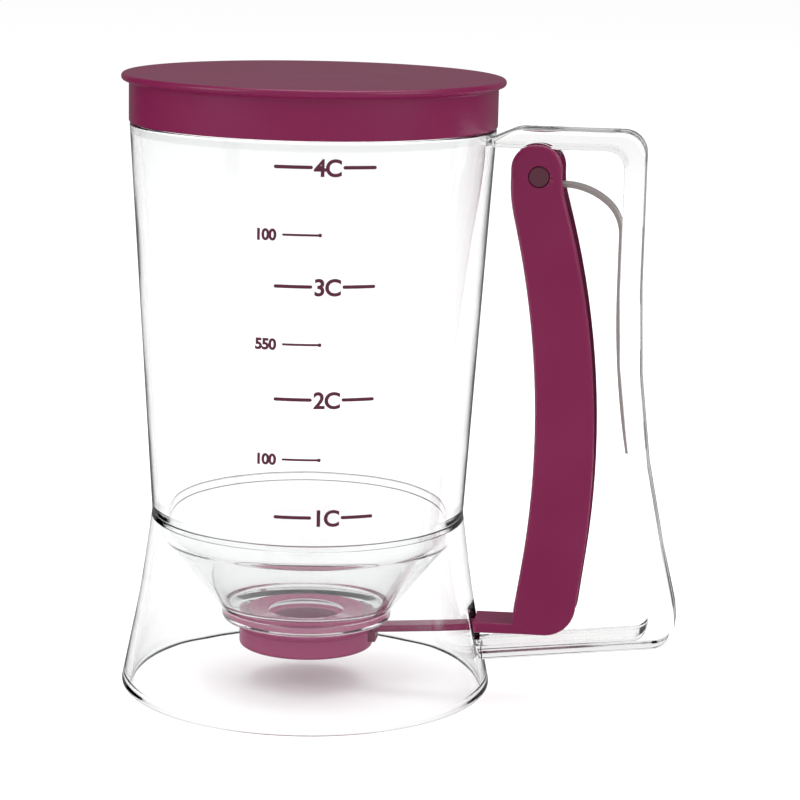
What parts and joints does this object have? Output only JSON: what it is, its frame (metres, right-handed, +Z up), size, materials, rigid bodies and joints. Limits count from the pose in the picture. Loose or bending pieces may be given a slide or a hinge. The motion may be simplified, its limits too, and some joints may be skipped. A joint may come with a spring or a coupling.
{
  "type": "pancake batter dispenser",
  "caption": "Clear measuring jar with a push-on lid and a flared stand, whose handle carries a sprung squeeze trigger that swings a seal cup off the funnel's outlet",
  "frame": {"origin": "centre of the stand's foot ring, on the surface it stands on", "axes": "+Z up along the jar, +X towards the handle and the trigger, +Y to the left of someone facing along +X"},
  "size_m": [0.1698, 0.1136, 0.186],
  "materials": {
    "clear_plastic": "clear polished",
    "berry_plastic": "satin gloss",
    "berry_silicone": "satin",
    "pin_steel": "satin",
    "spring_steel": "polished strip"
  },
  "bodies": {
    "vessel": {"measuring_jar": "clear_plastic", "funnel": "clear_plastic", "flared_stand": "clear_plastic", "handle_frame": "clear_plastic", "return_spring": "spring_steel"},
    "squeeze_lever": {"trigger": "berry_plastic", "pivot_pin": "pin_steel", "pin_retainer": "pin_steel", "valve_cup": "berry_plastic", "valve_seal": "berry_silicone", "cup_screw": "pin_steel"},
    "lid_body": {"lid": "berry_plastic"}
  },
  "joints": [
    {"name": "trigger_pivot", "type": "hinge", "parent": "vessel", "child": "squeeze_lever", "pos_m": [0.068, 0, 0.1589], "axis": [0, -1, 0], "range_deg": [0, 6.5], "stiffness_Nm_per_rad": 2.2, "springref_deg": -4.01},
    {"name": "lid_lift", "type": "slide", "parent": "vessel", "child": "lid_body", "axis": [0, 0, 1], "range_m": [0, 0.05]}
  ]
}
